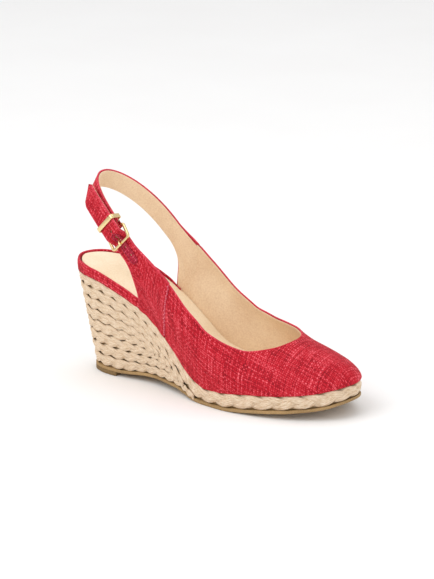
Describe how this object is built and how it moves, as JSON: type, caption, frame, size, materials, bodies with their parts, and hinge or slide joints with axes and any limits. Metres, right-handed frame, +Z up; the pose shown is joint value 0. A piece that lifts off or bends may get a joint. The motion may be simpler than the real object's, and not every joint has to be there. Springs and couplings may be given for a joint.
{
  "type": "slingback wedge espadrille",
  "caption": "Women's slingback espadrille with a closed round toe, woven textile upper, buckled heel strap and a high wedge wrapped in braided jute.",
  "frame": {"origin": "middle of the shoe's footprint, on the ground", "axes": "+X from heel to toe, +Z up, -Y towards the outer side of a right foot"},
  "size_m": [0.2352, 0.088, 0.1489],
  "materials": {
    "red_textile": "woven slub textile, matt",
    "beige_lining": "smooth synthetic lining",
    "jute": "braided natural jute",
    "tan_rubber": "matt",
    "cork_core": "light agglomerate",
    "fibre_board": "pressed fibre",
    "insole_foam": "open-cell foam",
    "shank_steel": "tempered spring steel",
    "pale_gold": "polished, light gold plating"
  },
  "bodies": {
    "shoe": {"outsole": "tan_rubber", "heel_tip": "tan_rubber", "wedge_core": "cork_core", "shank": "shank_steel", "jute_row_1": "jute", "jute_row_2": "jute", "jute_row_3": "jute", "jute_row_4": "jute", "jute_row_5": "jute", "jute_row_6": "jute", "jute_row_7": "jute", "jute_welt": "jute", "insole_board": "fibre_board", "insole_foam": "insole_foam", "sock_lining": "beige_lining", "rand": "red_textile", "vamp": "red_textile", "toe_puff": "fibre_board", "vamp_lining": "beige_lining", "quarter_lateral": "red_textile", "quarter_lining_lateral": "beige_lining", "quarter_medial": "red_textile", "quarter_lining_medial": "beige_lining"},
    "sling": {"sling_strap": "red_textile", "sling_lining": "beige_lining", "chape": "red_textile", "billet_strap": "red_textile", "billet_lining": "beige_lining", "billet_patch": "red_textile"},
    "buckle": {"buckle_frame": "pale_gold"},
    "prong": {"buckle_prong": "pale_gold"},
    "keeper_loop": {"keeper": "pale_gold"}
  },
  "joints": [
    {"name": "sling_fold", "type": "hinge", "parent": "shoe", "child": "sling", "pos_m": [-0.04872, 0.00088, 0.0932], "axis": [0, 1, 0], "range_deg": [-40, 45]},
    {"name": "buckle_tilt", "type": "hinge", "parent": "sling", "child": "buckle", "pos_m": [-0.06919, -0.02737, 0.11475], "axis": [-0.6906, 0.0102, -0.7231], "range_deg": [0, 8]},
    {"name": "prong_lift", "type": "hinge", "parent": "buckle", "child": "prong", "pos_m": [-0.06919, -0.02737, 0.11475], "axis": [-0.6906, 0.0102, -0.7231], "range_deg": [0, 5]},
    {"name": "keeper_slide", "type": "slide", "parent": "sling", "child": "keeper_loop", "axis": [-0.7276, 0.1975, 0.657], "range_m": [-0.001, 0.005]}
  ]
}
